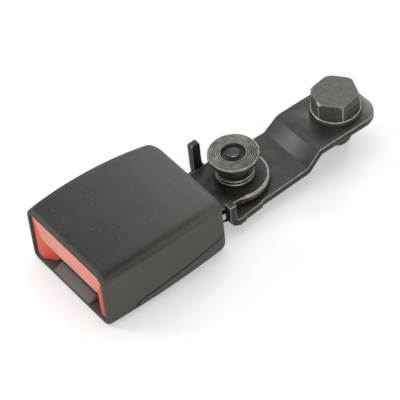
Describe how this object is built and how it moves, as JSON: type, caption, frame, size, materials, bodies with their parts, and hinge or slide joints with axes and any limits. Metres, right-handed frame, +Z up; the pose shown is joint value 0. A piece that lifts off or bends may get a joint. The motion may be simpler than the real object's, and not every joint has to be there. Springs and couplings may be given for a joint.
{
  "type": "seat belt buckle",
  "caption": "Seat belt buckle with an orange push button in a dark moulded casing, on a steel tail that swivels on a joggled anchor bracket with a hexagon bolt.",
  "frame": {"origin": "on the anchor bolt's axis, at the underside of the anchor bracket", "axes": "+X from the mouth of the buckle towards the anchor bolt, +Y across the buckle, +Z up, away from the face that the bracket is bolted to"},
  "size_m": [0.141, 0.0496, 0.0362],
  "materials": {
    "casing_plastic": "fine moulded texture",
    "button_plastic": "satin",
    "guide_plastic": "moulded",
    "ejector_plastic": "moulded",
    "bracket_steel": "black phosphate",
    "frame_steel": "black phosphate, oiled",
    "rivet_steel": "turned, blackened",
    "bolt_steel": "phosphated",
    "latch_steel": "zinc plated",
    "spring_steel": "drawn wire"
  },
  "bodies": {
    "anchor": {"anchor_bracket": "bracket_steel", "swivel_rivet": "rivet_steel", "swivel_spacer": "guide_plastic", "wave_washer": "rivet_steel", "rivet_washer": "rivet_steel", "bolt_bush": "ejector_plastic"},
    "bolt": {"anchor_bolt": "bolt_steel", "bolt_washer": "bolt_steel"},
    "buckle": {"buckle_frame": "frame_steel", "upper_casing": "casing_plastic", "lower_cover": "casing_plastic", "tongue_guide": "guide_plastic", "latch_pivot_pin": "latch_steel", "ejector_spring": "spring_steel", "button_spring_near": "spring_steel", "button_spring_far": "spring_steel"},
    "button": {"release_button": "button_plastic"},
    "lock": {"lock_bar": "latch_steel"},
    "pawl": {"latch": "latch_steel", "latch_spring": "spring_steel"},
    "slider": {"ejector": "ejector_plastic"}
  },
  "joints": [
    {"name": "buckle_swivel", "type": "hinge", "parent": "anchor", "child": "buckle", "pos_m": [-0.05, 0, 0], "axis": [0, 0, 1], "range_deg": [-8.5, 3]},
    {"name": "bolt_spin", "type": "hinge", "parent": "anchor", "child": "bolt", "pos_m": [0, 0, 0], "axis": [0, 0, 1], "continuous": true},
    {"name": "button_press", "type": "slide", "parent": "buckle", "child": "button", "axis": [1, 0, 0], "range_m": [0, 0.0055], "stiffness_N_per_m": 1500, "springref_m": -0.004, "deforming": ["button_spring_near", "button_spring_far"]},
    {"name": "lock_slide", "type": "slide", "parent": "buckle", "child": "lock", "axis": [1, 0, 0], "range_m": [0, 0.0055]},
    {"name": "latch_lift", "type": "hinge", "parent": "buckle", "child": "pawl", "pos_m": [-0.0835, 0, 0.0074], "axis": [0, 1, 0], "range_deg": [0, 15.6]},
    {"name": "ejector_slide", "type": "slide", "parent": "buckle", "child": "slider", "axis": [1, 0, 0], "range_m": [0, 0.01], "stiffness_N_per_m": 500, "springref_m": -0.006, "deforming": ["ejector_spring"]}
  ],
  "couplings": [
    {"joint": "lock_slide", "follows": "button_press", "ratio": 1},
    {"joint": "latch_lift", "follows": "button_press", "rad_per_m": 49.18}
  ]
}
